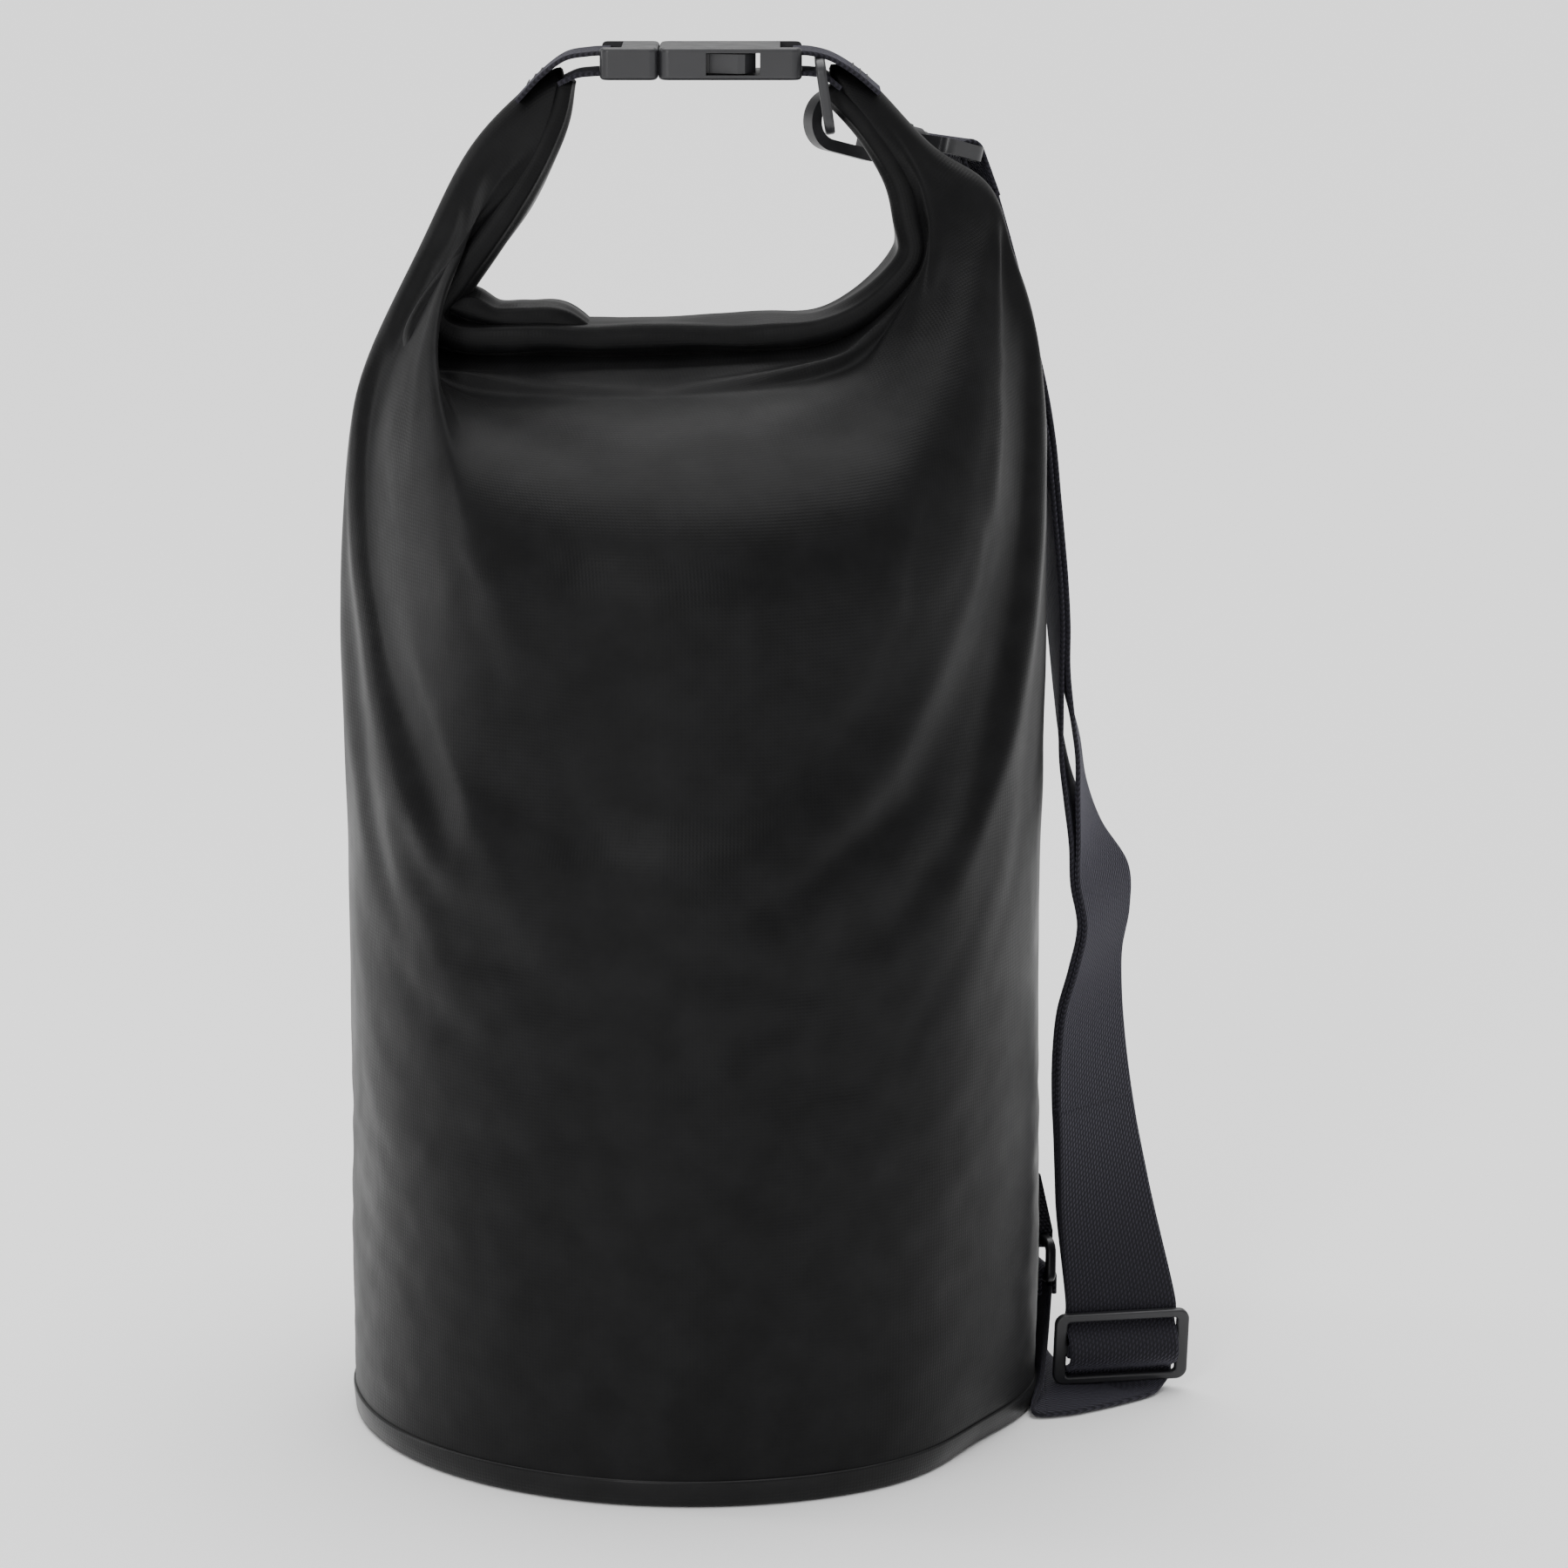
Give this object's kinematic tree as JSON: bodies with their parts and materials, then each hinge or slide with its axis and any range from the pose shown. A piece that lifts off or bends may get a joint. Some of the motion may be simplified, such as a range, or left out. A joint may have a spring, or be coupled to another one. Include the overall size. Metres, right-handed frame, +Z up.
{
  "type": "roll-top rope storage bag",
  "caption": "Round roll-top dry bag for rope: rolled collar buckled into a carry handle, snap hook, and an adjustable shoulder strap with a slider.",
  "frame": {"origin": "centre of the round base, on the ground", "axes": "+X right across the front, +Y to the back, +Z up through the handle"},
  "size_m": [0.2942, 0.24, 0.4752],
  "materials": {
    "coated_fabric": "black vinyl-coated fabric with a soft sheen",
    "webbing": "near-black woven polyester webbing",
    "acetal": "dark grey moulded acetal, satin",
    "stiffener_plastic": "black flexible strip"
  },
  "bodies": {
    "bag": {"tube_shell": "coated_fabric", "base_disc": "coated_fabric", "lower_patch": "coated_fabric", "lower_ring_tab": "webbing", "strap_main_layer": "webbing", "strap_return_layer": "webbing", "strap_lower_run": "webbing"},
    "closure": {"collar_roll": "coated_fabric", "front_stiffener": "stiffener_plastic", "back_stiffener": "stiffener_plastic", "collar_arm_left": "coated_fabric", "collar_arm_right": "coated_fabric", "buckle_female": "acetal", "right_webbing": "webbing"},
    "plug": {"buckle_male": "acetal", "left_webbing": "webbing"},
    "prong_front": {"prong_front": "acetal"},
    "prong_back": {"prong_back": "acetal"},
    "upper_ring": {"upper_ring": "acetal"},
    "snap_hook": {"hook_body": "acetal"},
    "gate": {"hook_gate": "acetal"},
    "strap_loop": {"strap_loop": "acetal", "strap_top_wrap": "webbing"},
    "lower_ring": {"lower_ring": "acetal", "strap_end_wrap": "webbing"},
    "slider": {"strap_slider": "acetal", "slider_wrap": "webbing"}
  },
  "joints": [
    {"name": "handle_tilt", "type": "hinge", "parent": "bag", "child": "closure", "pos_m": [0, 0, 0.37], "axis": [1, 0, 0], "range_deg": [-35, 35], "deforming": ["strap_main_layer", "strap_return_layer"]},
    {"name": "buckle_release", "type": "slide", "parent": "closure", "child": "plug", "axis": [-1, 0, 0], "range_m": [0, 0.024], "deforming": ["collar_arm_left"]},
    {"name": "prong_front_flex", "type": "hinge", "parent": "plug", "child": "prong_front", "pos_m": [-0.0125, -0.0113, 0.4685], "axis": [0, 0, 1], "range_deg": [0, 12.1]},
    {"name": "prong_back_flex", "type": "hinge", "parent": "plug", "child": "prong_back", "pos_m": [-0.0125, 0.0113, 0.4685], "axis": [0, 0, -1], "range_deg": [0, 12.1]},
    {"name": "upper_ring_swing", "type": "hinge", "parent": "closure", "child": "upper_ring", "pos_m": [0.043, 0, 0.4685], "axis": [0, -1, 0], "range_deg": [-2, 4], "deforming": ["strap_main_layer", "strap_return_layer"]},
    {"name": "hook_swing", "type": "hinge", "parent": "upper_ring", "child": "snap_hook", "pos_m": [0.0463, 0.0125, 0.44675], "axis": [0, -1, 0], "range_deg": [-3, 12], "deforming": ["strap_main_layer", "strap_return_layer"]},
    {"name": "hook_gate_open", "type": "hinge", "parent": "snap_hook", "child": "gate", "pos_m": [0.06205, 0.0229, 0.45154], "axis": [0.5508, -0.8346, 0], "range_deg": [0, 16], "stiffness_Nm_per_rad": 0.01, "springref_deg": -11.46},
    {"name": "hook_swivel", "type": "hinge", "parent": "snap_hook", "child": "strap_loop", "pos_m": [0.04772, 0.01344, 0.44733], "axis": [0.8063, 0.5322, -0.258], "range_deg": [-40, 40], "deforming": ["strap_main_layer", "strap_return_layer"]},
    {"name": "lower_ring_swing", "type": "hinge", "parent": "bag", "child": "lower_ring", "pos_m": [0.11916, 0.03643, 0.05], "axis": [0.2924, -0.9563, 0], "range_deg": [0, 60], "deforming": ["strap_lower_run"]},
    {"name": "slider_adjust", "type": "slide", "parent": "bag", "child": "slider", "axis": [0.0599, 0, 0.9982], "range_m": [0, 0.025], "deforming": ["strap_main_layer", "strap_return_layer"]}
  ],
  "couplings": [
    {"joint": "prong_front_flex", "follows": "buckle_release", "rad_per_m": 8.7266},
    {"joint": "prong_back_flex", "follows": "buckle_release", "rad_per_m": 8.7266}
  ]
}
